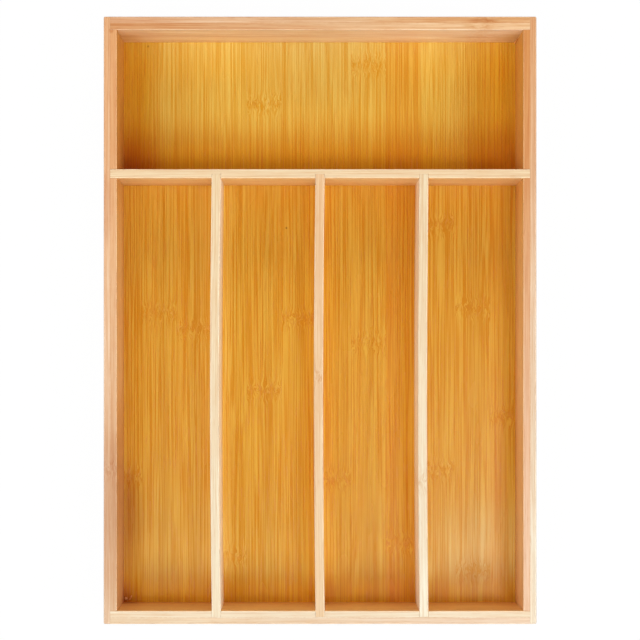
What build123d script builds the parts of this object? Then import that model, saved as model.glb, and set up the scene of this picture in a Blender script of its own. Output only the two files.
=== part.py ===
from build123d import *
import os

# Bamboo cutlery tray of nine glued boards, in millimetres, with its open side up.
# Four walls meet in rabbeted corners and hold the floor panel in one groove all round. A cross
# divider parts off the back compartment, and long dividers part the rest side by side. They all
# stand on the floor, flush with the rim, with their ends let into dadoes.
# X runs across the tray, Y from front to back and Z up. The origin is on the plane that the tray
# stands on, under its middle.

# Outside of the tray
tray_width = 254.0
tray_length = 356.5
tray_height = 50.0

# Boards
wall_thickness = 7.8
divider_thickness = 5.3
floor_thickness = 4.0

# How far the floor panel's underside stays above the table
floor_recess = 2.0

# Clear room behind the cross divider
back_compartment_depth = 81.8

# How far each long divider has sprung to the left at the middle of its clear length
left_divider_bow = 1.0
middle_divider_bow = 0.9
right_divider_bow = 0.8

# Depth of the rabbets, grooves and dadoes in the walls, which stop at the glue between two plies
wall_joint_depth = 4.0

# Depth of the dadoes that hold the long dividers, in the cross divider and in the front wall
cross_dado_depth = 2.4
front_dado_depth = 3.6

# Glue between the faces of every joint
glue_line = 0.05

# Outside edges, sanded once the tray is glued up, and long edges eased on each board before that
outside_radius = 0.9
board_radius = 0.5

# How far a cut runs past the face that it opens
overrun = 1.0

# Planes that the boards share
half_width = tray_width / 2
half_length = tray_length / 2
inside_half_width = half_width - wall_thickness
inside_half_length = half_length - wall_thickness
joint_half_width = inside_half_width + wall_joint_depth
joint_half_length = inside_half_length + wall_joint_depth
floor_top = floor_recess + floor_thickness
divider_foot = floor_top + glue_line
cross_back_face = inside_half_length - back_compartment_depth
cross_front_face = cross_back_face - divider_thickness

# Long dividers from left to right, and the even spacing of their ends
long_divider_bows = {
    "left_divider": left_divider_bow,
    "middle_divider": middle_divider_bow,
    "right_divider": right_divider_bow,
}
divider_count = len(long_divider_bows)
clear_width = 2 * inside_half_width - divider_count * divider_thickness
divider_spacing = clear_width / (divider_count + 1) + divider_thickness


def block(low, high):
    """A square block between its lowest and highest corners."""
    size = [top - bottom for bottom, top in zip(low, high)]
    return Pos(*low) * Box(*size, align=Align.MIN)


def eased(board, face_axis, edge_axis):
    """The board with the edges along edge_axis rounded, on its last face along face_axis."""
    edges = board.faces().sort_by(face_axis)[-1].edges().filter_by(edge_axis)
    return fillet(edges, board_radius)


def sanded_outside():
    """The whole tray's outside with its edges rounded, which the walls are cut to."""
    outside = block((-half_width, -half_length, 0), (half_width, half_length, tray_height))
    return fillet(outside.edges(), outside_radius)


def corner_rabbets():
    """Room in a side wall for the ends of the front and back walls."""
    shoulder = inside_half_length - glue_line
    low = (-joint_half_width, shoulder, -overrun)
    high = (joint_half_width, half_length + overrun, tray_height + overrun)
    back = block(low, high)
    return back + mirror(back, about=Plane.XZ)


def floor_groove():
    """Room in all four walls for the edges of the floor panel."""
    low = (-joint_half_width, -joint_half_length, floor_recess - glue_line)
    high = (joint_half_width, joint_half_length, floor_top + glue_line)
    return block(low, high)


def cross_dadoes():
    """Room in the side walls for both ends of the cross divider, open at the rim."""
    low = (-joint_half_width, cross_front_face - glue_line, floor_top)
    high = (joint_half_width, cross_back_face + glue_line, tray_height + overrun)
    return block(low, high)


def divider_centres():
    """Where the ends of the long dividers stand along X, from left to right."""
    leftmost = -divider_spacing * (divider_count - 1) / 2
    return [leftmost + place * divider_spacing for place in range(divider_count)]


def long_dadoes():
    """Room in the front wall and the cross divider for the ends of the long dividers."""
    half_slot = divider_thickness / 2 + glue_line
    front_end = -inside_half_length - front_dado_depth
    back_end = cross_front_face + cross_dado_depth
    slot = block((-half_slot, front_end, floor_top), (half_slot, back_end, tray_height + overrun))
    return Part() + [Pos(centre, 0, 0) * slot for centre in divider_centres()]


def left_wall():
    """A side wall, as long as the tray, which laps the ends of the front and back walls."""
    board = block((-half_width, -half_length, 0), (-inside_half_width, half_length, tray_height))
    board = eased(board, Axis.X, Axis.Y) & sanded_outside()
    return board - corner_rabbets() - floor_groove() - cross_dadoes()


def plain_end_wall():
    """The front wall before its dadoes are cut, which is also the back wall turned round."""
    reach = joint_half_width - glue_line
    board = block((-reach, -half_length, 0), (reach, -inside_half_length, tray_height))
    board = eased(board, Axis.Y, Axis.X) & sanded_outside()
    return board - floor_groove()


def floor_panel():
    """The board that closes the bottom, its edges in the walls' grooves."""
    half_panel_width = joint_half_width - glue_line
    half_panel_length = joint_half_length - glue_line
    low = (-half_panel_width, -half_panel_length, floor_recess)
    high = (half_panel_width, half_panel_length, floor_top)
    return block(low, high)


def cross_divider():
    """The divider across the tray, with dadoes in its front face for the long ones."""
    reach = joint_half_width - glue_line
    board = block((-reach, cross_front_face, divider_foot), (reach, cross_back_face, tray_height))
    return eased(board, Axis.Z, Axis.X) - long_dadoes()


def divider_side(side_x, bow):
    """One side of a long divider in plan: straight in both dadoes and bowed between them."""
    front_face = -inside_half_length
    front_end = front_face - front_dado_depth + glue_line
    back_end = cross_front_face + cross_dado_depth - glue_line
    middle = (front_face + cross_front_face) / 2
    return [
        Line((side_x, front_end), (side_x, front_face)),
        ThreePointArc((side_x, front_face), (side_x - bow, middle), (side_x, cross_front_face)),
        Line((side_x, cross_front_face), (side_x, back_end)),
    ]


def long_divider(centre, bow):
    """A divider along the tray, with the long edges of its top eased."""
    left = divider_side(centre - divider_thickness / 2, bow)
    right = divider_side(centre + divider_thickness / 2, bow)
    front = Line(left[0] @ 0, right[0] @ 0)
    back = Line(left[-1] @ 1, right[-1] @ 1)
    outline = make_face([*left, back, *right, front])
    board = extrude(Pos(0, 0, divider_foot) * outline, tray_height - divider_foot)
    top_edges = board.faces().sort_by(Axis.Z)[-1].edges()
    return fillet(top_edges.filter_by(Axis.X, reverse=True), board_radius)


def tray_boards():
    """Every board of the tray by its name."""
    boards = {
        "left_wall": left_wall(),
        "right_wall": mirror(left_wall(), about=Plane.YZ),
        "back_wall": mirror(plain_end_wall(), about=Plane.XZ),
        "front_wall": plain_end_wall() - long_dadoes(),
        "floor_panel": floor_panel(),
        "cross_divider": cross_divider(),
    }
    for (name, bow), centre in zip(long_divider_bows.items(), divider_centres()):
        boards[name] = long_divider(centre, bow)
    return boards


os.makedirs("parts", exist_ok=True)
for name, board in tray_boards().items():
    export_step(board, f"parts/{name}.step")
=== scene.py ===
import logging
import math
from abc import ABC, abstractmethod
from dataclasses import dataclass
from enum import Enum
from functools import cached_property, partial, reduce
from typing import Union

import bpy
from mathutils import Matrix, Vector


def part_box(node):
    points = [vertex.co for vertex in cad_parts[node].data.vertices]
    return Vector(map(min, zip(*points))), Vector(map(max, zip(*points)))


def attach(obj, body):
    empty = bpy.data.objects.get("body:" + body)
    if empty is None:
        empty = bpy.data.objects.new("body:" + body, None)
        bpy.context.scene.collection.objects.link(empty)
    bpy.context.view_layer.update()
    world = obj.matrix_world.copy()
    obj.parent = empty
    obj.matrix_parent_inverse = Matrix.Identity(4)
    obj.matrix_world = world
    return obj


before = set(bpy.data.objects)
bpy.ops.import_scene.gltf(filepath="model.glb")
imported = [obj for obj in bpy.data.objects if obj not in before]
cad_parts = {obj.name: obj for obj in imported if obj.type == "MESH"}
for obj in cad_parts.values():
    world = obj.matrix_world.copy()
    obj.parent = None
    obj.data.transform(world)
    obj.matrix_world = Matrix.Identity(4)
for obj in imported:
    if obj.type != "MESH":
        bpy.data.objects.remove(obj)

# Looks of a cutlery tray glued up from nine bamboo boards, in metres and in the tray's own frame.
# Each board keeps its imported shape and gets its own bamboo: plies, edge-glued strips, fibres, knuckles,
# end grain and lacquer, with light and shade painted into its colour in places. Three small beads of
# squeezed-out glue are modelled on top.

LOG = logging.getLogger("cutlery_tray")
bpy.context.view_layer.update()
MM = 0.001
PER_METRE = 1 / MM

NodeTree = bpy.types.NodeTree
Socket = bpy.types.NodeSocket
Feed = Union[Socket, float, tuple]
Feeds = dict[Union[str, int], Feed]
Colour = tuple[float, float, float]
Range = tuple[float, float]


class SocketKind(Enum):
    """Kinds of value that a shader group takes in or puts out."""

    VALUE = "NodeSocketFloat"
    VECTOR = "NodeSocketVector"
    COLOUR = "NodeSocketColor"


class Grain(Enum):
    """Which way a board's fibres run, as the turn that brings them along the pattern's Y axis."""

    ACROSS_TRAY = math.pi / 2
    ALONG_TRAY = 0.0


class Wiring:
    """Adds nodes to one shader tree and links them."""

    def __init__(self, tree: NodeTree) -> None:
        """Keeps the tree."""
        self.tree = tree

    def feed(self, node: bpy.types.Node, feeds: Feeds) -> None:
        """Links other nodes' outputs to a node's inputs, or sets the inputs' own values.

        Args:
            node: The node that is fed.
            feeds: What goes into its inputs, by their names or numbers.
        """
        for key, value in feeds.items():
            if isinstance(value, Socket):
                self.tree.links.new(value, node.inputs[key])
            else:
                node.inputs[key].default_value = value

    def node(self, kind: str, feeds: Feeds | None = None, **settings: object) -> bpy.types.Node:
        """Adds one node.

        Args:
            kind: Blender's name of the node's class.
            feeds: What goes into its inputs.
            **settings: Properties of the node itself.

        Returns:
            The new node.
        """
        node = self.tree.nodes.new(kind)
        for name, value in settings.items():
            setattr(node, name, value)
        self.feed(node, feeds or {})
        return node

    def math(self, operation: str, *values: Feed) -> Socket:
        """Works out one number by a Math node's operation."""
        return self.node("ShaderNodeMath", dict(enumerate(values)), operation=operation).outputs[0]

    def product(self, *values: Feed) -> Socket:
        """Multiplies numbers."""
        return reduce(partial(self.math, "MULTIPLY"), values)

    def apart(self, first: Feed, second: Feed) -> Socket:
        """How far two numbers are apart."""
        return self.math("ABSOLUTE", self.math("SUBTRACT", first, second))

    def between(self, share: Feed, low: float, high: float) -> Socket:
        """Turns a share into a number between low, at 0, and high, at 1."""
        return self.math("MULTIPLY_ADD", share, high - low, low)

    def vector(self, operation: str, *values: Feed) -> Socket:
        """Works out one vector, component by component."""
        return self.node("ShaderNodeVectorMath", dict(enumerate(values)), operation=operation).outputs[0]

    def split(self, vector: Socket) -> tuple[Socket, Socket, Socket]:
        """Takes a vector apart into its X, Y and Z."""
        return tuple(self.node("ShaderNodeSeparateXYZ", {0: vector}).outputs)

    def join(self, x: Feed, y: Feed, z: Feed) -> Socket:
        """Puts a vector together from its X, Y and Z."""
        return self.node("ShaderNodeCombineXYZ", {0: x, 1: y, 2: z}).outputs[0]

    def ramp(self, value: Feed, low: Feed, high: Feed, start: float = 0.0, end: float = 1.0) -> Socket:
        """Maps a value smoothly from start, at low, to end, at high, and clamps it there."""
        feeds = {"Value": value, "From Min": low, "From Max": high, "To Min": start, "To Max": end}
        return self.node("ShaderNodeMapRange", feeds, interpolation_type="SMOOTHSTEP").outputs[0]

    def noise(self, place: Socket, detail: float = 2.0) -> Socket:
        """Smooth noise round 0.5 at a place, with one lump for each unit."""
        feeds = {"Vector": place, "Scale": 1.0, "Detail": detail}
        return self.node("ShaderNodeTexNoise", feeds).outputs[0]

    def lumps(self, place: Socket, size: tuple[float, ...], detail: float = 2.0) -> Socket:
        """The same noise, with lumps of a size of their own along each axis."""
        return self.noise(self.vector("DIVIDE", place, size), detail)

    def patches(self, place: Socket, size: tuple[float, ...], ends: Range, detail: float = 2.0) -> Socket:
        """Such lumps as soft patches, from 0 to 1 where the noise crosses a range."""
        return self.ramp(self.lumps(place, size, detail), *ends)

    def mix(self, share: Feed, first: Feed, second: Feed, blend: str = "MIX") -> Socket:
        """Mixes a share of the second colour into the first."""
        # Other inputs of this node have the same names, so those for colours go by number.
        feeds = {0: share, 6: rgba(first), 7: rgba(second)}
        return self.node("ShaderNodeMix", feeds, data_type="RGBA", blend_type=blend).outputs[2]

    def tint(self, share: Feed, colour: Feed, tint: Feed) -> Socket:
        """Multiplies a colour by a tint, as far as the share says."""
        return self.mix(share, colour, tint, blend="MULTIPLY")

    def group(self, tree: NodeTree, feeds: Feeds) -> dict[str, Socket]:
        """Places a shader group and finds its outputs by their names."""
        node = self.node("ShaderNodeGroup", feeds, node_tree=tree)
        return {socket.name: socket for socket in node.outputs}


class GroupWiring(Wiring):
    """Wires up one shader group between its named inputs and outputs."""

    def __init__(
        self,
        name: str,
        values: tuple[str, ...],
        vectors: tuple[str, ...] = ("Vector",),
        colours: tuple[str, ...] = (),
    ) -> None:
        """Starts the group with its inputs.

        Args:
            name: The group's name.
            values: The inputs that are numbers.
            vectors: The inputs that are places or sizes.
            colours: The inputs that are colours.
        """
        super().__init__(bpy.data.node_groups.new(name, "ShaderNodeTree"))
        kinds = {SocketKind.VECTOR: vectors, SocketKind.COLOUR: colours, SocketKind.VALUE: values}
        for kind, labels in kinds.items():
            for label in labels:
                self.tree.interface.new_socket(label, in_out="INPUT", socket_type=kind.value)
        self.inputs = self.node("NodeGroupInput").outputs

    def __getitem__(self, name: str) -> Socket:
        """What comes in at the group's input of a name."""
        return self.inputs[name]

    def give(self, results: Feeds, kind: SocketKind = SocketKind.VALUE) -> NodeTree:
        """Ends the group with its outputs.

        Args:
            results: What feeds each output, by the output's name.
            kind: What kind of value they are.

        Returns:
            The finished group.
        """
        for name in results:
            self.tree.interface.new_socket(name, in_out="OUTPUT", socket_type=kind.value)
        self.node("NodeGroupOutput", results)
        return self.tree


class MaterialWiring(Wiring):
    """Wires up one material round its Principled shader."""

    def __init__(self, name: str) -> None:
        """Starts the material.

        Args:
            name: The material's name.
        """
        self.material = bpy.data.materials.new(name)
        self.material.use_nodes = True
        super().__init__(self.material.node_tree)
        self.shader = self.tree.nodes["Principled BSDF"]

    def bump(self, height: Socket, depth: float) -> Socket:
        """The normal of a surface that stands out by its height, up to a depth in millimetres."""
        return self.node("ShaderNodeBump", {"Height": height, "Distance": depth * MM}).outputs[0]


def rgba(colour: Feed) -> Feed:
    """Adds full alpha to a plain colour, and passes a socket on."""
    return colour if isinstance(colour, Socket) else (*colour, 1.0)


class BambooGroups:
    """The effects that the boards' materials share, each one a shader group.

    A group is built once, when a material first places it. Places and sizes inside it are in
    millimetres. X runs across the fibres, Y along them and Z up. A range is where a smooth ramp
    starts and ends.
    """

    @cached_property
    def strips(self) -> NodeTree:
        """Edge-glued strips side by side: each one's number, its own tone and the seams.

        Returns:
            The group.
        """
        seam_width = 0.16
        w = GroupWiring("bamboo_strips", ("Across", "Width", "Seed"), vectors=())
        place = w.math("DIVIDE", w["Across"], w["Width"])
        number = w.math("FLOOR", place)
        seeded = w.join(number, w["Seed"], 0.0)
        tone = w.node("ShaderNodeTexWhiteNoise", {"Vector": seeded}).outputs[0]
        off_seam = w.product(w.math("PINGPONG", place, 0.5), w["Width"])
        return w.give({"Number": number, "Tone": tone, "Seam": w.ramp(off_seam, seam_width, 0.0)})

    @cached_property
    def fibres(self) -> NodeTree:
        """Fibre bundles: broad bands, fine streaks and short dark flecks.

        Returns:
            The group.
        """
        seed_steps = (17.3, 7.1, 3.7)
        wander_share = (0.09, 0.5, 0.09)
        wander_width = 1.3
        band_share = (0.2, 0.3, 0.2)
        band_range = (0.32, 0.68)
        blotch_share = (0.24, 4.0, 0.24)
        blotch_weight = 0.45
        coarse_range = (0.36, 0.64)
        fine_share = (2.1, 0.9, 2.1)
        fine_range = (0.38, 0.62)
        fleck_share = (1.8, 6.0, 1.8)
        fleck_range = (0.58, 0.74)
        w = GroupWiring("bamboo_fibres", ("Width", "Length", "Fine", "Seed"))
        spot = w.vector("DIVIDE", w["Vector"], w.join(w["Width"], w["Length"], w["Width"]))
        spot = w.vector("ADD", spot, w.vector("MULTIPLY", w["Seed"], seed_steps))
        wander = w.noise(w.vector("MULTIPLY", spot, wander_share), detail=1.0)
        wander = w.between(wander, -wander_width, wander_width)
        spot = w.vector("ADD", spot, w.join(wander, 0.0, wander))
        band = w.ramp(w.noise(w.vector("MULTIPLY", spot, band_share)), *band_range)
        blotch = w.ramp(w.noise(w.vector("MULTIPLY", spot, blotch_share)), *band_range)
        coarse = w.ramp(w.noise(spot, detail=1.0), *coarse_range)
        coarse = w.product(coarse, w.math("SUBTRACT", 1.0, w["Fine"]))
        fine = w.noise(w.vector("MULTIPLY", spot, fine_share), detail=1.0)
        fleck = w.noise(w.vector("MULTIPLY", spot, fleck_share), detail=1.0)
        band = w.product(band, 1 - blotch_weight)
        results = {
            "Band": w.math("MULTIPLY_ADD", blotch, blotch_weight, band),
            "Streak": w.math("MULTIPLY_ADD", w.ramp(fine, *fine_range), w["Fine"], coarse),
            "Fleck": w.ramp(fleck, *fleck_range),
        }
        return w.give(results)

    @cached_property
    def knuckle(self) -> NodeTree:
        """A knuckle of the cane: a scalloped line and short dark marks, where the fibres swirl.

        Returns:
            The group.
        """
        wave_length = 7.0
        wave_height = 5.0
        scallop_width = 4.4
        scallop_height = 4.5
        scallop_shift = 2.0
        line_width = 0.9
        break_size = (2.2, 2.2, 2.2)
        break_range = (0.38, 0.58)
        row_height = 5.0
        mark_size = (0.8, 3.2, 0.8)
        mark_range = (0.46, 0.66)
        mottle_size = (1.1, 5.0, 1.1)
        mottle_range = (0.3, 0.7)
        mottle_depths = (-0.35, 0.65)
        swirl_size = (3.2, 8.0, 3.2)
        swirl_width = 4.5
        w = GroupWiring("bamboo_knuckle", ("Place", "Reach"))
        across, along, up = w.split(w["Vector"])
        off = w.math("SUBTRACT", along, w["Place"])
        wave = w.lumps(w.join(across, w["Place"], up), (wave_length,) * 3)
        column = w.math("ADD", w.math("DIVIDE", across, scallop_width), w.product(wave, scallop_shift))
        arch = w.math("PINGPONG", w.product(column, 2.0), 1.0)
        arch = w.product(arch, arch, scallop_height)
        from_row = w.math("SUBTRACT", off, w.between(wave, -wave_height, wave_height))
        line = w.ramp(w.apart(from_row, arch), line_width, 0.0)
        broken = w.patches(w["Vector"], break_size, break_range)
        row = w.ramp(w.math("ABSOLUTE", from_row), row_height, 0.0)
        marks = w.patches(w["Vector"], mark_size, mark_range, detail=1.0)
        near = w.ramp(w.math("ABSOLUTE", off), w["Reach"], 0.0)
        mottle = w.ramp(w.lumps(w["Vector"], mottle_size), *mottle_range, *mottle_depths)
        swirl = w.between(w.lumps(w["Vector"], swirl_size), -swirl_width, swirl_width)
        results = {
            "Mark": w.math("MAXIMUM", w.product(line, broken), w.product(row, marks)),
            "Mottle": w.product(mottle, near),
            "Swirl": w.product(swirl, near, near),
        }
        return w.give(results)

    @cached_property
    def plies(self) -> NodeTree:
        """The two plies of a wall, the broken line of glue between them and a pale band beside it.

        Returns:
            The group.
        """
        waver_size = (4.0, 30.0, 4.0)
        half_waver = 0.15
        half_glue = 0.1
        line_width = 0.32
        break_size = (0.8, 1.5, 0.8)
        break_range = (0.36, 0.6)
        pale_width = 0.8
        pale_core = 0.2
        pale_size = (7.0, 45.0, 7.0)
        pale_range = (0.4, 0.62)
        w = GroupWiring("bamboo_plies", ("Glue plane",))
        across, _, _ = w.split(w["Vector"])
        past = w.math("SUBTRACT", w.math("ABSOLUTE", across), w["Glue plane"])
        waver = w.between(w.lumps(w["Vector"], waver_size), -half_waver, half_waver)
        past = w.math("ADD", past, waver)
        line = w.ramp(w.math("ABSOLUTE", past), line_width, half_glue)
        broken = w.patches(w["Vector"], break_size, break_range)
        beside = w.ramp(w.apart(past, pale_width), pale_width, pale_core)
        patches = w.patches(w["Vector"], pale_size, pale_range)
        results = {
            "Outer": w.ramp(past, -half_glue, half_glue),
            "Glue": w.product(line, broken),
            "Pale": w.product(beside, patches),
        }
        return w.give(results)

    @cached_property
    def end_grain(self) -> NodeTree:
        """The dark dots of the sawn fibre bundles on a board's ends.

        Returns:
            The group.
        """
        bundle_size = (0.75, 400.0, 0.75)
        end_range = (0.75, 0.95)
        dot_range = (0.38, 0.2)
        w = GroupWiring("bamboo_end_grain", ("Facing",))
        spot = w.vector("DIVIDE", w["Vector"], bundle_size)
        cells = w.node("ShaderNodeTexVoronoi", {"Vector": spot, "Scale": 1.0})
        dots = w.ramp(cells.outputs["Distance"], *dot_range)
        end = w.ramp(w.math("ABSOLUTE", w["Facing"]), *end_range)
        return w.give({"Dot": w.product(end, dots)})

    @cached_property
    def lacquer(self) -> NodeTree:
        """Thin satin lacquer: how rough it is and how it stands over the fibres.

        Returns:
            The group.
        """
        patch_size = (14.0, 60.0, 14.0)
        patch_roughness = 0.12
        fleck_roughness = 0.1
        peel_size = (1.6, 2.4, 1.6)
        heights = {"Streak": 0.5, "Fleck": -0.7, "Hollow": -1.5}
        peel_height = 0.5
        w = GroupWiring("satin_lacquer", ("Roughness", "Streak", "Fleck", "Hollow"))
        patches = w.lumps(w["Vector"], patch_size)
        rough = w.math("MULTIPLY_ADD", patches, patch_roughness, w["Roughness"])
        rough = w.math("MULTIPLY_ADD", w["Fleck"], fleck_roughness, rough)
        height = w.product(w.lumps(w["Vector"], peel_size), peel_height)
        for name, share in heights.items():
            height = w.math("MULTIPLY_ADD", w[name], share, height)
        return w.give({"Roughness": rough, "Height": height})

    @staticmethod
    def _past_faces(w: GroupWiring) -> tuple[Socket, Socket, Socket]:
        """How far a place lies beyond a board's faces across, along and up, less than 0 inside."""
        offset = w.vector("ABSOLUTE", w.vector("SUBTRACT", w["Vector"], w["Centre"]))
        return w.split(w.vector("SUBTRACT", offset, w["Half size"]))

    @cached_property
    def near_board(self) -> NodeTree:
        """How near a place is to the foot of a board that stands on the floor.

        Returns:
            The group.
        """
        w = GroupWiring("near_board", ("Reach",), ("Vector", "Centre", "Half size"))
        x, y, _ = self._past_faces(w)
        return w.give({"Near": w.ramp(w.math("MAXIMUM", x, y), w["Reach"], 0.0)})

    @cached_property
    def soft_spot(self) -> NodeTree:
        """A soft patch about a place, full strength in its core and drawn out along the fibres.

        Returns:
            The group.
        """
        w = GroupWiring("soft_spot", ("Reach", "Core", "Stretch"), ("Vector", "Place"))
        offset = w.vector("SUBTRACT", w["Vector"], w["Place"])
        offset = w.vector("DIVIDE", offset, w.join(1.0, w["Stretch"], 1.0))
        away = w.node("ShaderNodeVectorMath", {0: offset}, operation="LENGTH").outputs["Value"]
        return w.give({"Spot": w.ramp(away, w["Reach"], w["Core"])})

    @cached_property
    def edge_wear(self) -> NodeTree:
        """Worn long edges of a board, paled partly as wear and partly as a painted highlight, broken up
        by noise.

        Returns:
            The group.
        """
        patch_size = (2.5, 9.0, 2.5)
        patch_range = (0.25, 0.65)
        w = GroupWiring("edge_wear", ("Reach",), ("Vector", "Centre", "Half size"))
        x, _, z = self._past_faces(w)
        from_edge = w.product(w.math("MINIMUM", x, z), -1.0)
        patches = w.patches(w["Vector"], patch_size, patch_range, detail=3.0)
        return w.give({"Edge": w.product(w.ramp(from_edge, w["Reach"], 0.0), patches)})

    @cached_property
    def colour(self) -> NodeTree:
        """Bamboo's colour: its ground, blushed in bands and darkened by fibres and knuckles.

        Returns:
            The group.
        """
        shares = {"Mottle": 0.45, "Mark": 0.6}
        fleck_share = 0.45
        values = ("Contrast", "Band", "Streak", "Fleck", "Mark", "Mottle")
        w = GroupWiring("bamboo_colour", values, vectors=(), colours=("Ground", "Blush", "Tint"))
        ground = w.tint(w["Band"], w["Ground"], w["Blush"])
        dark = w.math("MULTIPLY_ADD", w["Fleck"], fleck_share, w["Streak"])
        dark = w.product(dark, w["Contrast"])
        for name, share in shares.items():
            dark = w.math("MULTIPLY_ADD", w[name], share, dark)
        return w.give({"Colour": w.tint(dark, ground, w["Tint"])}, SocketKind.COLOUR)


def srgb(red: int, green: int, blue: int) -> Colour:
    """A linear colour from the 0 to 255 levels of a screen."""
    return tuple(((level / 255 + 0.055) / 1.055) ** 2.4 for level in (red, green, blue))


@dataclass(frozen=True)
class Ply:
    """The ground colour of one ply, at the low and at the high end of its fibres. On the walls the change
    from end to end is partly the wood's own and partly painted light.
    """

    low: Colour
    high: Colour


@dataclass(frozen=True)
class BambooCut:
    """How the fibres show in one kind of cut, in millimetres, and the lacquer over them."""

    fibre_width: float
    fibre_length: float
    knuckle_reach: float
    blush: Colour
    tint: Colour
    roughness: float = 0.3
    fine_share: float = 0.6
    bump_height: float = 0.03


@dataclass(frozen=True)
class Spot:
    """A soft patch that tints what it lies on, in millimetres in the tray's frame.

    It is round, or drawn out along the fibres by its stretch.
    """

    place: tuple[float, float, float]
    reach: float
    core: float
    tint: Colour
    stretch: float = 1.0


# A place in millimetres past every board, for a knuckle or a glue line that a board hasn't got
OFF_BOARD = 1000.0

# Painted shade in the tray's front-left inside corner, on the floor and on both walls that meet there.
PAINTED_CORNER_SHADE = Spot((-121.0, -172.0, 3.0), 20.0, 1.0, (0.62, 0.36, 0.2))


@dataclass(frozen=True)
class Fade:
    """A tint of painted light and shade that comes in along one axis, from where it starts to where it is
    full.
    """

    start: float
    full: float
    tint: Colour


@dataclass(frozen=True)
class BoardSideShading:
    """A tint of painted light and shade on the floor beside a board, shifted towards the board's left."""

    node: str
    reach: float
    shift: float
    tint: Colour


@dataclass(frozen=True)
class BoardFinish:
    """How the bamboo of one wall or divider looks, in millimetres.

    The inner ply's top has its own colour, and so has its flat face towards the compartments, a colour
    that is partly painted light on the face, with painted shade at its foot. The long edges are paled,
    partly as wear and partly as a painted highlight. The figure is how strongly the fibres show.
    """

    grain: Grain
    inner: Ply
    outer: Ply
    face: Ply
    seed: float
    knuckle_place: float = OFF_BOARD
    glue_plane: float = OFF_BOARD
    bow: float = 0.0
    wear_and_highlight_reach: float = 0.9
    worn_share: float = 0.55
    strip_width: float = 28.0
    foot: float = 6.0
    foot_reach: float = 20.0
    foot_shade: Colour = (0.92, 0.8, 0.62)
    figure: float = 0.65
    face_figure: float = 1.1
    spots: tuple[Spot, ...] = ()
    face_spots: tuple[Spot, ...] = ()
    worn: Colour = srgb(250, 222, 184)
    glue: Colour = srgb(176, 112, 62)
    end_dots: Colour = srgb(142, 86, 44)
    cut: BambooCut = BambooCut(0.7, 50.0, 14.0, (0.98, 0.9, 0.82), (0.78, 0.58, 0.42))


@dataclass(frozen=True)
class Strip:
    """One strip of the floor panel: how dark it is, partly its own tone and partly painted shade beside
    the walls and dividers, and where its knuckles lie along Y.

    A strip with one knuckle has its second past the panel's end.
    """

    dark: float
    knuckle: float
    second_knuckle: float = 200.0


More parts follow.
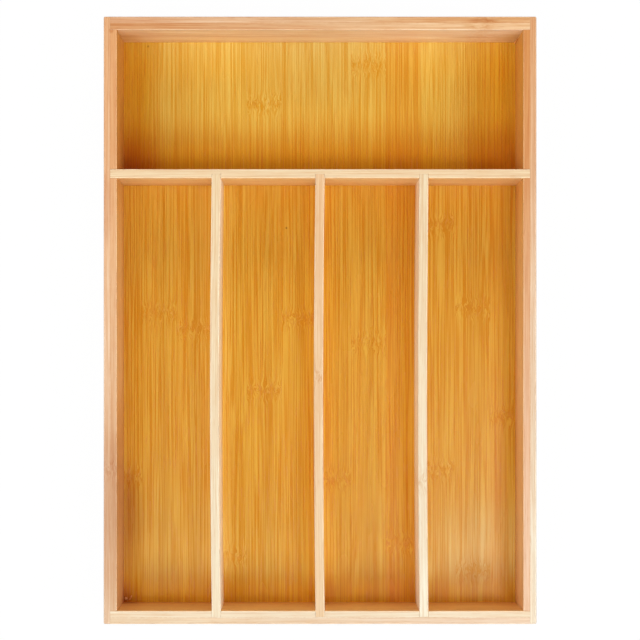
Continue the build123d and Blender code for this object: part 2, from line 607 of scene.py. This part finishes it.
@dataclass(frozen=True)
class FloorFinish:
    """How the floor panel's edge-glued strips look, in millimetres and from left to right."""

    strips: tuple[Strip, ...] = (
        Strip(0.3, -94.3), Strip(0.1, 5.6), Strip(0.2, -4.7),
        Strip(0.1, -142.3), Strip(0.2, 132.6, -41.3), Strip(0.3, 2.0),
        Strip(0.3, -96.1), Strip(0.35, 156.7, -12.1), Strip(0.85, -134.5),
        Strip(0.15, 58.6, -90.0), Strip(0.2, 8.1, -151.6), Strip(0.5, -57.8),
    )
    strip_width: float = 21.2
    first_seam: float = -2.1
    strips_left_of_seam: int = 6
    knuckle_range: float = 400.0
    seed: float = 5.0
    light: Colour = srgb(227, 183, 75)
    middle: Colour = srgb(220, 159, 49)
    seam: Colour = srgb(189, 109, 28)
    # The back compartment starts behind the cross divider, and its floor gets a paler, yellower painted
    # sheen.
    back: Fade = Fade(82.0, 86.0, (0.995, 1.11, 1.5))
    # Painted shade towards both side walls of the back compartment, eased again right by the right wall.
    back_sides: tuple[Fade, ...] = (
        Fade(-94.0, -107.0, (0.88, 0.71, 0.29)),
        Fade(84.0, 98.0, (0.95, 0.78, 0.38)),
        Fade(102.0, 110.0, (1.07, 1.13, 0.95)),
    )
    # A painted shadow behind the cross divider and painted light along the back wall's foot.
    back_fades: tuple[Fade, ...] = (
        Fade(132.0, 95.7, (0.82, 0.57, 0.13)),
        Fade(152.0, 170.0, (0.96, 1.02, 1.2)),
    )
    # Painted shade in the back compartment's left corner and in the middle by the back wall, and one dark
    # speck.
    back_spots: tuple[Spot, ...] = (
        Spot((-122.0, 87.0, 2.0), 38.0, 2.0, (0.74, 0.44, 0.2)),
        Spot((0.0, 174.0, 6.0), 74.0, 2.0, (0.83, 0.88, 1.12)),
        Spot((-104.4, 168.0, 6.0), 0.9, 0.3, (0.6, 0.55, 0.45)),
    )
    # A painted sheen that comes in towards the front, and a painted shadow at the front wall's foot.
    fades: tuple[Fade, ...] = (
        Fade(-92.0, -145.0, (1.09, 1.2, 1.65)),
        Fade(-148.0, -166.0, (0.96, 0.8, 0.25)),
    )
    # Painted light beside the long dividers, and painted shade beside the side walls.
    shading_beside_boards: tuple[BoardSideShading, ...] = (
        BoardSideShading("left_divider", 11.0, 3.0, (1.2, 1.26, 1.6)),
        BoardSideShading("middle_divider", 12.0, 1.0, (1.12, 1.03, 0.68)),
        BoardSideShading("right_divider", 10.0, 3.0, (1.07, 1.03, 0.78)),
        BoardSideShading("left_wall", 14.0, 0.0, (0.93, 0.88, 0.78)),
        BoardSideShading("right_wall", 14.0, 0.0, (0.94, 0.93, 0.75)),
    )
    # Painted shade in the front-left corner, along the left wall and in the front corners beside the
    # dividers, a painted sheen at the right front, and one dark speck.
    spots: tuple[Spot, ...] = (
        PAINTED_CORNER_SHADE,
        Spot((-119.0, -118.0, 6.0), 17.0, 4.0, (0.76, 0.64, 0.62), 2.6),
        Spot((-57.0, -166.0, 6.0), 24.0, 2.0, (0.8, 0.68, 0.36)),
        Spot((4.0, -166.0, 6.0), 17.0, 2.0, (0.82, 0.75, 0.5)),
        Spot((65.0, -166.0, 6.0), 17.0, 2.0, (0.82, 0.73, 0.5)),
        Spot((104.0, -145.0, 6.0), 56.0, 10.0, (1.02, 1.15, 2.3)),
        Spot((-20.2, 57.4, 6.0), 0.9, 0.35, (0.5, 0.45, 0.4)),
    )
    shading_range: Range = (2.5, 3.5)
    figure: float = 1.08
    back_figure: float = 0.85
    cut: BambooCut = BambooCut(1.1, 80.0, 15.0, (0.98, 0.91, 0.78), (0.83, 0.58, 0.16), 0.2, 0.84)


class BambooMaterial(MaterialWiring):
    """One lacquered bamboo material while it is wired up. Its pattern is in millimetres."""

    def __init__(self, node: str, groups: BambooGroups, grain: Grain, cut: BambooCut) -> None:
        """Starts the material and finds its place on the board.

        Args:
            node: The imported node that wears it.
            groups: The shared groups.
            grain: Which way the board's fibres run.
            cut: How the fibres show.
        """
        super().__init__(f"{node}_bamboo")
        self.groups = groups
        self.grain = grain
        self.cut = cut
        place = self.node("ShaderNodeTexCoord").outputs
        turn = (0.0, 0.0, grain.value)
        feeds = {"Vector": place["Object"], "Rotation": turn, "Scale": (PER_METRE,) * 3}
        self.spot = self.node("ShaderNodeMapping", feeds).outputs[0]
        feeds = {"Vector": place["Normal"], "Rotation": turn}
        normal = self.node("ShaderNodeMapping", feeds, vector_type="VECTOR").outputs[0]
        self.facing = self.split(normal)

    def straighten(self, centre: Vector, half: Vector, bow: float) -> None:
        """Takes the spring out of a bowed board's pattern, so that it follows the bow.

        Args:
            centre: The board's middle.
            half: Half its size.
            bow: How far its middle has sprung to the left.
        """
        across, along, up = self.split(self.spot)
        share = self.math("DIVIDE", self.math("SUBTRACT", along, centre.y), half.y)
        sprung = self.between(self.product(share, share), bow, 0.0)
        self.spot = self.join(self.math("ADD", across, sprung), along, up)

    def spotted(self, colour: Socket, spots: tuple[Spot, ...]) -> Socket:
        """Tints the colour with soft patches.

        Args:
            colour: The wood's colour.
            spots: The patches.

        Returns:
            The tinted colour.
        """
        for patch in spots:
            feeds = {"Vector": self.spot, "Place": turned(Vector(patch.place), self.grain)}
            feeds |= {"Reach": patch.reach, "Core": patch.core, "Stretch": patch.stretch}
            share = self.group(self.groups.soft_spot, feeds)["Spot"]
            colour = self.tint(share, colour, patch.tint)
        return colour

    def faded(self, colour: Socket, place: Socket, fades: tuple[Fade, ...]) -> Socket:
        """Tints the colour with painted light and shade that comes in along one axis.

        Args:
            colour: The wood's colour.
            place: The place along the axis.
            fades: The tints.

        Returns:
            The tinted colour.
        """
        for fade in fades:
            colour = self.tint(self.ramp(place, fade.start, fade.full), colour, fade.tint)
        return colour

    def knuckle(self, spot: Socket, place: float) -> dict[str, Socket]:
        """Places the knuckle of a pattern at a place along its fibres."""
        feeds = {"Vector": spot, "Place": place, "Reach": self.cut.knuckle_reach}
        return self.group(self.groups.knuckle, feeds)

    def wood(self, ground: Socket, figure: Feed, knuckle: dict[str, Socket], seed: Feed) -> Socket:
        """Draws the fibres and the knuckle over the ground, with the lacquer over them.

        Args:
            ground: The wood's pale ground colour.
            figure: How strongly the fibres show.
            knuckle: The outputs of the knuckle group.
            seed: What sets this board's or strip's fibres apart.

        Returns:
            The wood's colour.
        """
        across, along, up = self.split(self.spot)
        feeds = {
            "Vector": self.join(self.math("ADD", across, knuckle["Swirl"]), along, up),
            "Width": self.cut.fibre_width,
            "Length": self.cut.fibre_length,
            "Fine": self.cut.fine_share,
            "Seed": seed,
        }
        fibres = self.group(self.groups.fibres, feeds)
        feeds = {"Vector": self.spot, "Roughness": self.cut.roughness, "Hollow": knuckle["Mark"]}
        feeds |= {name: fibres[name] for name in ("Streak", "Fleck")}
        lacquer = self.group(self.groups.lacquer, feeds)
        normal = self.bump(lacquer["Height"], self.cut.bump_height)
        self.feed(self.shader, {"Roughness": lacquer["Roughness"], "Normal": normal})
        feeds = {"Ground": ground, "Blush": rgba(self.cut.blush), "Tint": rgba(self.cut.tint)}
        feeds |= {"Contrast": figure, "Mark": knuckle["Mark"], "Mottle": knuckle["Mottle"]}
        return self.group(self.groups.colour, feeds | fibres)["Colour"]


class BoardMaker:
    """Makes the materials of the walls and dividers, and of the floor panel."""

    def __init__(self) -> None:
        """Holds the groups that every material places."""
        self.groups = BambooGroups()

    def board(self, node: str, finish: BoardFinish) -> bpy.types.Material:
        """Makes the bamboo of one wall or divider.

        Args:
            node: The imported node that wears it.
            finish: How it looks.

        Returns:
            The material.
        """
        flat_range = (0.5, 0.8)
        tone_share = 0.12
        pale_share = 0.16
        seam_share = 0.3
        glue_share = 0.3
        dot_share = 0.5
        w = BambooMaterial(node, self.groups, finish.grain, finish.cut)
        centre, half = turned_box(node, finish.grain)
        if finish.bow:
            w.straighten(centre, half, finish.bow)
        _, along, up = w.split(w.spot)
        flat = w.ramp(w.math("ABSOLUTE", w.facing[0]), *flat_range)
        plies = w.group(self.groups.plies, {"Vector": w.spot, "Glue plane": finish.glue_plane})
        inside = w.product(flat, w.math("SUBTRACT", 1.0, plies["Outer"]))
        share = w.ramp(along, centre.y - half.y, centre.y + half.y)
        cuts = (finish.inner, finish.outer, finish.face)
        inner, outer, face = (w.mix(share, ply.low, ply.high) for ply in cuts)
        face = w.spotted(face, finish.face_spots)
        ground = w.mix(inside, w.mix(plies["Outer"], inner, outer), face)
        feeds = {"Across": up, "Width": finish.strip_width, "Seed": finish.seed}
        strips = w.group(self.groups.strips, feeds)
        ground = w.tint(w.product(strips["Tone"], flat, tone_share), ground, finish.glue)
        figure = w.between(flat, finish.figure, finish.face_figure)
        knuckle = w.knuckle(w.spot, finish.knuckle_place)
        colour = w.wood(ground, figure, knuckle, finish.seed)
        colour = w.mix(w.product(plies["Pale"], pale_share), colour, finish.worn)
        seams = w.product(strips["Seam"], flat, seam_share)
        seams = w.math("MULTIPLY_ADD", plies["Glue"], glue_share, seams)
        colour = w.mix(seams, colour, finish.glue)
        # Painted shade on the faces, darkest at the foot.
        foot = w.ramp(up, finish.foot + finish.foot_reach, finish.foot)
        colour = w.tint(w.product(foot, inside), colour, finish.foot_shade)
        colour = w.spotted(colour, finish.spots)
        dots = w.group(self.groups.end_grain, {"Vector": w.spot, "Facing": w.facing[1]})["Dot"]
        colour = w.mix(w.product(dots, dot_share), colour, finish.end_dots)
        # The long edges are paled, partly as wear and partly as a painted highlight.
        feeds = {"Vector": w.spot, "Centre": centre, "Half size": half, "Reach": finish.wear_and_highlight_reach}
        worn = w.group(self.groups.edge_wear, feeds)["Edge"]
        colour = w.mix(w.product(worn, finish.worn_share), colour, finish.worn)
        w.feed(w.shader, {"Base Color": colour})
        return w.material

    def floor(self, node: str, finish: FloorFinish) -> bpy.types.Material:
        """Makes the bamboo of the floor panel, glued up from strips side by side.

        Args:
            node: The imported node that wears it.
            finish: How it looks.

        Returns:
            The material.
        """
        seam_share = 0.35
        w = BambooMaterial(node, self.groups, Grain.ALONG_TRAY, finish.cut)
        across, along, up = w.split(w.spot)
        from_seam = w.math("SUBTRACT", across, finish.first_seam)
        feeds = {"Across": from_seam, "Width": finish.strip_width, "Seed": finish.seed}
        strips = w.group(self.groups.strips, feeds)
        first, second, dark = self._strip_facts(w, strips["Number"], finish)
        first_off = w.math("SUBTRACT", along, first)
        second_off = w.math("SUBTRACT", along, second)
        nearer = w.math("LESS_THAN", w.math("ABSOLUTE", second_off), w.math("ABSOLUTE", first_off))
        gap = w.math("SUBTRACT", second_off, first_off)
        off = w.math("MULTIPLY_ADD", nearer, gap, first_off)
        knuckle = w.knuckle(w.join(across, off, up), 0.0)
        ground = w.mix(dark, finish.light, finish.middle)
        behind = w.ramp(along, finish.back.start, finish.back.full)
        figure = w.between(behind, finish.figure, finish.back_figure)
        colour = w.wood(ground, figure, knuckle, w.math("ADD", strips["Number"], finish.seed))
        colour = w.mix(w.product(strips["Seam"], seam_share), colour, finish.seam)
        # The painted light and shade, with the spots, go only on the panel's top; below, the plain strips
        # show.
        shaded = w.spotted(self._shaded(w, colour, behind, finish), finish.spots)
        colour = w.mix(w.ramp(up, *finish.shading_range), colour, shaded)
        w.feed(w.shader, {"Base Color": colour})
        return w.material

    def _shaded(self, w: BambooMaterial, colour: Socket, behind: Socket, finish: FloorFinish) -> Socket:
        """Paints light and shade into the floor: a sheen with shade and shadow in the back compartment, a
        sheen and a shadow at the front, and light and shade beside the boards.

        Args:
            w: The floor's material.
            colour: The wood's colour.
            behind: Whether a place is in the back compartment.
            finish: How the floor looks.

        Returns:
            The tinted colour.
        """
        across, along, _ = w.split(w.spot)
        back = w.tint(1.0, colour, finish.back.tint)
        back = w.faded(back, across, finish.back_sides)
        back = w.faded(back, along, finish.back_fades)
        back = w.spotted(back, finish.back_spots)
        front = w.faded(colour, along, finish.fades)
        for lift in finish.shading_beside_boards:
            centre, half = turned_box(lift.node, Grain.ALONG_TRAY)
            centre.x -= lift.shift
            feeds = {"Vector": w.spot, "Centre": centre, "Half size": half, "Reach": lift.reach}
            front = w.tint(w.group(self.groups.near_board, feeds)["Near"], front, lift.tint)
        return w.mix(behind, front, back)

    @staticmethod
    def _strip_facts(w: Wiring, number: Socket, finish: FloorFinish) -> tuple[Socket, Socket, Socket]:
        """Looks up a strip's facts by its number, in a colour ramp with one step for each strip.

        Args:
            w: The material's wiring.
            number: The strip's number.
            finish: The strips.

        Returns:
            Where its two knuckles lie along Y, and how dark it is.
        """
        count = len(finish.strips)
        place = w.math("ADD", number, finish.strips_left_of_seam + 0.5)
        ramp = w.node("ShaderNodeValToRGB", {0: w.math("DIVIDE", place, count)})
        ramp.color_ramp.interpolation = "CONSTANT"
        stops = ramp.color_ramp.elements
        stops.remove(stops[1])
        reach = finish.knuckle_range / 2
        for step, strip in enumerate(finish.strips):
            stop = stops[0] if step == 0 else stops.new(step / count)
            shares = [(spot + reach) / (2 * reach) for spot in (strip.knuckle, strip.second_knuckle)]
            stop.position = step / count
            stop.color = (*shares, strip.dark, 1.0)
        first, second, dark = w.node("ShaderNodeSeparateColor", {0: ramp.outputs[0]}).outputs
        return w.between(first, -reach, reach), w.between(second, -reach, reach), dark


def turned(place: Vector, grain: Grain) -> Vector:
    """Turns a place in the tray's frame into a board's pattern."""
    return Vector((-place.y, place.x, place.z)) if grain is Grain.ACROSS_TRAY else place


def turned_box(node: str, grain: Grain) -> tuple[Vector, Vector]:
    """The middle and half the size of a node in millimetres, turned as its fibres are.

    Args:
        node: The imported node.
        grain: Which way its fibres run.

    Returns:
        Its middle and half its size.
    """
    low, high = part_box(node)
    centre = (low + high) / 2 * PER_METRE
    half = turned((high - low) / 2 * PER_METRE, grain)
    return turned(centre, grain), Vector(abs(length) for length in half)


def dress(node: str, material: bpy.types.Material) -> None:
    """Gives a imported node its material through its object's own slots.

    Args:
        node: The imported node.
        material: Its material.
    """
    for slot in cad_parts[node].material_slots:
        slot.link = "OBJECT"
        slot.material = material
    LOG.info("dressed %s", node)


class BoardSet(ABC):
    """A sub-assembly of boards, each with a finish of its own."""

    @abstractmethod
    def finishes(self) -> dict[str, BoardFinish]:
        """How each board's bamboo looks, by the name of its node."""

    def dress(self, maker: BoardMaker) -> None:
        """Gives every board its bamboo."""
        for node, finish in self.finishes().items():
            dress(node, maker.board(node, finish))


@dataclass
class Walls(BoardSet):
    """The four walls, each glued up from two plies. Lengths are in millimetres."""

    side_glue_plane: float = 123.2
    end_glue_plane: float = 174.45

    def finishes(self) -> dict[str, BoardFinish]:
        """How each wall's bamboo looks.

        Returns:
            The finishes by the names of their nodes.
        """
        end = partial(BoardFinish, Grain.ACROSS_TRAY, glue_plane=self.end_glue_plane)
        side = partial(BoardFinish, Grain.ALONG_TRAY, glue_plane=self.side_glue_plane)
        return {
            "left_wall": side(
                inner=Ply(srgb(196, 162, 128), srgb(215, 164, 114)),
                outer=Ply(srgb(200, 169, 140), srgb(215, 171, 129)),
                face=Ply(srgb(216, 172, 119), srgb(215, 163, 81)),
                seed=1.0,
                knuckle_place=-87.0,
                worn_share=0.2,
                figure=0.7,
                # Painted shade in the front corner, broad paler and darker patches on the rim whose paler
                # front end is painted sheen, and two small dark marks.
                spots=(
                    PAINTED_CORNER_SHADE,
                    Spot((-122.0, 8.0, 50.0), 86.0, 40.0, (1.08, 1.17, 1.27)),
                    Spot((-122.0, -99.0, 50.0), 44.0, 18.0, (0.9, 0.84, 0.8)),
                    Spot((-122.0, -179.0, 50.0), 34.0, 10.0, (1.05, 1.12, 1.17)),
                    Spot((-126.0, 65.0, 50.0), 4.8, 2.6, (0.89, 0.8, 0.75), 5.5),
                    Spot((-122.5, 169.8, 50.0), 2.0, 0.6, (0.84, 0.72, 0.6)),
                ),
                # Painted shade low on the face at the back, and painted light over its middle.
                face_spots=(
                    Spot((-119.0, 110.0, 8.0), 36.0, 12.0, (0.84, 0.74, 0.5)),
                    Spot((-119.0, 15.0, 28.0), 86.0, 45.0, (1.13, 1.26, 1.6)),
                ),
            ),
            "right_wall": side(
                inner=Ply(srgb(216, 185, 157), srgb(201, 142, 83)),
                outer=Ply(srgb(218, 213, 196), srgb(206, 160, 117)),
                face=Ply(srgb(234, 198, 148), srgb(223, 171, 85)),
                seed=2.0,
                worn_share=0.2,
                # Painted light over the middle of the face.
                face_spots=(Spot((119.0, 5.0, 28.0), 86.0, 45.0, (1.07, 1.17, 1.42)),),
            ),
            "back_wall": end(
                inner=Ply(srgb(203, 154, 107), srgb(221, 189, 150)),
                outer=Ply(srgb(212, 172, 137), srgb(207, 162, 114)),
                face=Ply(srgb(253, 236, 205), srgb(253, 241, 219)),
                seed=3.0,
                knuckle_place=96.5,
                worn_share=0.2,
                strip_width=12.0,
                figure=0.9,
                face_figure=1.4,
                spots=(
                    Spot((95.0, 172.0, 50.0), 88.0, 50.0, (1.05, 1.09, 1.12)),
                    Spot((-25.0, 176.6, 50.0), 4.6, 2.6, (1.03, 1.12, 1.2), 20.0),
                    Spot((95.5, 175.8, 50.0), 1.7, 0.5, (0.82, 0.68, 0.55), 7.0),
                    Spot((88.0, 172.8, 50.0), 1.2, 0.3, (0.88, 0.8, 0.7), 6.0),
                ),
                face_spots=(
                    Spot((-112.0, 170.4, 27.0), 4.4, 2.2, (0.92, 0.84, 0.77), 20.0),
                    Spot((-40.0, 170.4, 27.0), 3.4, 0.5, (0.95, 0.89, 0.84), 25.0),
                    Spot((-60.0, 170.4, 17.0), 2.4, 1.0, (1.03, 1.1, 1.12), 60.0),
                    Spot((92.0, 170.4, 24.0), 3.6, 1.4, (0.84, 0.7, 0.56), 5.0),
                    Spot((102.0, 170.4, 38.0), 3.6, 1.4, (1.03, 1.1, 1.14), 6.0),
                    # Painted shade in both corners of the face.
                    Spot((122.0, 170.4, 22.0), 26.0, 4.0, (0.78, 0.68, 0.46)),
                    Spot((-122.0, 170.4, 22.0), 20.0, 3.0, (0.84, 0.74, 0.54)),
                ),
            ),
            "front_wall": end(
                inner=Ply(srgb(219, 208, 184), srgb(219, 208, 184)),
                outer=Ply(srgb(212, 195, 167), srgb(213, 194, 172)),
                face=Ply(srgb(247, 203, 129), srgb(247, 203, 129)),
                seed=4.0,
                # Painted shade in the front-left corner.
                spots=(PAINTED_CORNER_SHADE,),
            ),
        }


@dataclass
class Dividers(BoardSet):
    """The cross divider and the three long ones, sprung a little to the left, in millimetres."""

    left_bow: float = 1.0
    middle_bow: float = 0.9
    right_bow: float = 0.8

    def finishes(self) -> dict[str, BoardFinish]:
        """How each divider's bamboo looks.

        Returns:
            The finishes by the names of their nodes.
        """
        cross = Ply(srgb(222, 202, 167), srgb(222, 204, 171))
        # The faces towards the compartments are paler than the tops: painted light on them.
        cross_face = Ply(srgb(249, 220, 165), srgb(249, 220, 165))
        left = Ply(srgb(222, 218, 197), srgb(222, 206, 172))
        middle = Ply(srgb(216, 194, 160), srgb(219, 188, 149))
        right = Ply(srgb(221, 215, 194), srgb(221, 207, 176))
        face = Ply(srgb(253, 253, 238), srgb(253, 253, 238))
        long = partial(BoardFinish, Grain.ALONG_TRAY, face=face)
        return {
            "cross_divider": BoardFinish(Grain.ACROSS_TRAY, cross, cross, cross_face, seed=5.0),
            "left_divider": long(left, left, seed=6.0, bow=self.left_bow, face_figure=0.75),
            "middle_divider": long(
                middle, middle, seed=7.0, bow=self.middle_bow, knuckle_place=-32.0, face_figure=0.75
            ),
            "right_divider": long(right, right, seed=8.0, bow=self.right_bow, knuckle_place=-95.0),
        }


@dataclass
class FloorPanel:
    """The panel that closes the bottom, glued up from strips side by side."""

    node: str = "floor_panel"
    finish: FloorFinish = FloorFinish()

    def dress(self, maker: BoardMaker) -> None:
        """Gives the panel its bamboo."""
        dress(self.node, maker.floor(self.node, self.finish))


@dataclass(frozen=True)
class GlueFinish:
    """How dried glue looks: amber, clouded in places and glossy. Lengths are in millimetres."""

    clear: Colour = srgb(206, 132, 74)
    clouded: Colour = srgb(220, 160, 98)
    cloud_size: float = 0.9
    cloud_range: Range = (0.35, 0.7)
    smooth: float = 0.18
    rough: float = 0.4
    bump_height: float = 0.05

    def material(self) -> bpy.types.Material:
        """Makes the material.

        Returns:
            The material.
        """
        w = MaterialWiring("dried_glue")
        place = w.node("ShaderNodeTexCoord").outputs["Object"]
        clouds = w.patches(place, (self.cloud_size * MM,) * 3, self.cloud_range, detail=3.0)
        feeds = {
            "Base Color": w.mix(clouds, self.clear, self.clouded),
            "Roughness": w.ramp(clouds, 0.0, 1.0, self.smooth, self.rough),
            "Normal": w.bump(clouds, self.bump_height),
        }
        w.feed(w.shader, feeds)
        return w.material


@dataclass(frozen=True)
class GlueBead:
    """A bead of squeezed-out glue, in millimetres: rounds of one outline at several heights."""

    name: str
    slot: str
    place: tuple[float, float, float]
    rounds: tuple[tuple[float, float], ...]
    stretch: float = 1.0
    turn: float = 0.0
    sides: int = 12
    smoothing: int = 2

    def build(self, material: bpy.types.Material) -> None:
        """Draws the bead up from its foot, stretches and turns it, and rounds it off.

        Args:
            material: The glue.
        """
        spot = Vector(self.place) * MM
        height, radius = self.rounds[0]
        bpy.ops.object.select_all(action="DESELECT")
        bpy.ops.mesh.primitive_circle_add(
            vertices=self.sides, radius=radius * MM, fill_type="NGON", location=spot
        )
        bead = bpy.context.object
        bpy.ops.object.transform_apply(location=True, rotation=True, scale=True)
        bpy.ops.object.mode_set(mode="EDIT")
        bpy.ops.mesh.select_all(action="SELECT")
        for next_height, next_radius in self.rounds[1:]:
            rise = {"value": (0.0, 0.0, (next_height - height) * MM)}
            bpy.ops.mesh.extrude_region_move(TRANSFORM_OT_translate=rise)
            share = next_radius / radius
            centre = spot + Vector((0.0, 0.0, next_height * MM))
            bpy.ops.transform.resize(value=(share, share, 1.0), center_override=centre)
            height, radius = next_height, next_radius
        bpy.ops.mesh.select_all(action="SELECT")
        bpy.ops.transform.resize(value=(self.stretch, 1.0, 1.0), center_override=spot)
        bpy.ops.transform.rotate(value=self.turn, orient_axis="Z", center_override=spot)
        bpy.ops.mesh.normals_make_consistent(inside=False)
        bpy.ops.object.mode_set(mode="OBJECT")
        rounding = bead.modifiers.new("rounding", "SUBSURF")
        rounding.levels = rounding.render_levels = self.smoothing
        bpy.ops.object.modifier_apply(modifier=rounding.name)
        bpy.ops.object.shade_smooth()
        bead.name = self.name
        bead.data.materials.append(material)
        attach(bead, "root")
        LOG.info("built %s", self.name)


@dataclass
class GlueBeads:
    """The glue that was left in two inside corners of the tray. Lengths are in millimetres."""

    finish: GlueFinish = GlueFinish()
    beads: tuple[GlueBead, ...] = (
        GlueBead(
            "corner_glue_run",
            "wall_bamboo",
            (118.85, 170.1, 7.0),
            ((0.0, 0.4), (0.6, 0.85), (1.8, 0.8), (4.0, 0.55), (8.0, 0.5), (12.0, 0.45), (15.0, 0.2)),
        ),
        GlueBead(
            "corner_glue_drop",
            "floor_bamboo",
            (-118.1, -168.2, 5.9),
            ((0.0, 0.9), (0.3, 0.95), (0.6, 0.7), (0.8, 0.3)),
            stretch=1.15,
        ),
        GlueBead(
            "corner_glue_smear",
            "floor_bamboo",
            (-115.1, -167.7, 5.9),
            ((0.0, 0.5), (0.25, 0.5), (0.45, 0.25)),
            stretch=3.4,
            turn=-math.pi / 3,
        ),
    )

    def build(self) -> None:
        """Builds every bead."""
        material = self.finish.material()
        for bead in self.beads:
            bead.build(material)


@dataclass(frozen=True)
class Lamp:
    """A rectangular softbox, in metres, aimed at the middle of the tray."""

    name: str
    place: tuple[float, float, float]
    width: float
    depth: float
    power: float
    glares: bool = True


@dataclass
class Studio:
    """A plain pale floor under soft light, whose background shows white.

    A black flag hangs over it all, where a camera straight above would catch the sky's glare.
    """

    floor_width: float = 12.0
    floor_drop: float = 0.0002
    pale: Colour = (0.92, 0.92, 0.92)
    flag_width: float = 2.6
    flag_height: float = 2.2
    ambient: float = 0.07
    shown_white: float = 0.98
    lamps: tuple[Lamp, ...] = (
        Lamp("front_high_softbox", (0.0, -0.9, 1.4), 1.2, 0.5, 6.7),
        Lamp("front_low_softbox", (0.0, -1.6, 1.0), 1.6, 0.6, 9.7),
        Lamp("right_high_softbox", (0.46, -0.3, 1.8), 0.25, 0.4, 1.8),
        Lamp("right_high_fill", (0.46, -0.3, 1.8), 0.25, 0.4, 4.7, glares=False),
        Lamp("left_high_softbox", (-0.7, -0.4, 1.8), 0.25, 0.4, 2.8),
        Lamp("right_low_softbox", (1.2, -0.1, 1.0), 0.6, 1.0, 12.4),
        Lamp("left_low_softbox", (-1.2, -0.1, 1.0), 0.6, 1.0, 11.4),
        Lamp("back_low_softbox", (0.0, 1.4, 1.0), 1.6, 0.6, 9.5),
    )

    def build(self) -> None:
        """Lays the floor and sets up the lamps and the world."""
        self._lay_floor()
        self._hang_flag()
        for lamp in self.lamps:
            self._hang(lamp)
        self._light_world()

    @staticmethod
    def _seen_white(w: Wiring) -> Socket:
        """A mask of the rays that should find a white background.

        Args:
            w: The wiring that it is for.

        Returns:
            The mask.
        """
        rays = w.node("ShaderNodeLightPath").outputs
        seen = w.math("MAXIMUM", rays["Is Camera Ray"], rays["Is Glossy Ray"])
        return w.math("MAXIMUM", seen, rays["Is Transmission Ray"])

    @staticmethod
    def _sheet(name: str, width: float, height: float, covering: MaterialWiring) -> bpy.types.Object:
        """Spreads a level square sheet above or below the middle of the tray.

        Args:
            name: Its name.
            width: Its width in metres.
            height: Its height over the table.
            covering: Its material.

        Returns:
            The sheet.
        """
        bpy.ops.object.select_all(action="DESELECT")
        bpy.ops.mesh.primitive_plane_add(size=width, location=(0.0, 0.0, height))
        bpy.ops.object.transform_apply(location=True, rotation=True, scale=True)
        sheet = bpy.context.object
        sheet.name = name
        sheet.data.materials.append(covering.material)
        return sheet

    def _lay_floor(self) -> None:
        """Makes the pale floor, which keeps the tray's shadow and can't be seen from below."""
        w = MaterialWiring("studio_floor")
        w.tree.nodes.remove(w.shader)
        pale = w.node("ShaderNodeBsdfDiffuse", {"Color": rgba(self.pale)}).outputs[0]
        white = w.node("ShaderNodeEmission", {"Strength": 1.0}).outputs[0]
        share = w.product(self._seen_white(w), self.shown_white)
        above = w.node("ShaderNodeMixShader", {0: share, 1: pale, 2: white}).outputs[0]
        clear = w.node("ShaderNodeBsdfTransparent").outputs[0]
        under = w.node("ShaderNodeNewGeometry").outputs["Backfacing"]
        shown = w.node("ShaderNodeMixShader", {0: under, 1: above, 2: clear}).outputs[0]
        w.feed(w.tree.nodes["Material Output"], {"Surface": shown})
        floor = self._sheet("studio_floor", self.floor_width, -self.floor_drop, w)

    def _hang_flag(self) -> None:
        """Hangs the black flag, which only the lacquer's reflections can see."""
        w = MaterialWiring("black_flag")
        w.feed(w.shader, {"Base Color": (0.0, 0.0, 0.0, 1.0), "Specular IOR Level": 0.0})
        flag = self._sheet("black_flag", self.flag_width, self.flag_height, w)
        flag.visible_camera = flag.visible_diffuse = False
        flag.visible_transmission = flag.visible_shadow = False

    @staticmethod
    def _hang(lamp: Lamp) -> None:
        """Hangs one softbox and turns it towards the tray.

        Args:
            lamp: The softbox.
        """
        light = bpy.data.lights.new(lamp.name, "AREA")
        light.shape = "RECTANGLE"
        light.size = lamp.width
        light.size_y = lamp.depth
        light.energy = lamp.power
        hung = bpy.data.objects.new(lamp.name, light)
        hung.location = lamp.place
        hung.visible_glossy = lamp.glares
        hung.rotation_euler = (-Vector(lamp.place)).to_track_quat("-Z", "Y").to_euler()
        bpy.context.scene.collection.objects.link(hung)

    def _light_world(self) -> None:
        """Lights the world softly and shows it white."""
        world = bpy.data.worlds.new("studio")
        world.use_nodes = True
        bpy.context.scene.world = world
        w = Wiring(world.node_tree)
        strength = w.ramp(self._seen_white(w), 0.0, 1.0, self.ambient, 1.0)
        w.feed(w.tree.nodes["Background"], {"Color": (1.0, 1.0, 1.0, 1.0), "Strength": strength})


@dataclass
class Viewpoint:
    """The camera straight above the tray, in metres, with the shift that frames the photograph."""

    place: tuple[float, float, float] = (-0.007, -0.031, 1.195)
    lens: float = 109.8
    sensor: float = 36.0
    shift: tuple[float, float] = (0.0185, 0.083)

    def build(self) -> None:
        """Sets up the camera."""
        camera = bpy.data.cameras.new("viewpoint")
        camera.lens = self.lens
        camera.sensor_width = self.sensor
        camera.shift_x, camera.shift_y = self.shift
        stand = bpy.data.objects.new("viewpoint", camera)
        stand.location = self.place
        bpy.context.scene.collection.objects.link(stand)
        bpy.context.scene.camera = stand


def main() -> None:
    """Builds the whole scene in order."""
    logging.basicConfig(level=logging.INFO, format="%(name)s: %(message)s")
    bpy.context.scene.view_settings.view_transform = "Standard"
    maker = BoardMaker()
    Walls().dress(maker)
    Dividers().dress(maker)
    FloorPanel().dress(maker)
    GlueBeads().build()
    Studio().build()
    Viewpoint().build()


if __name__ == "__main__":
    main()
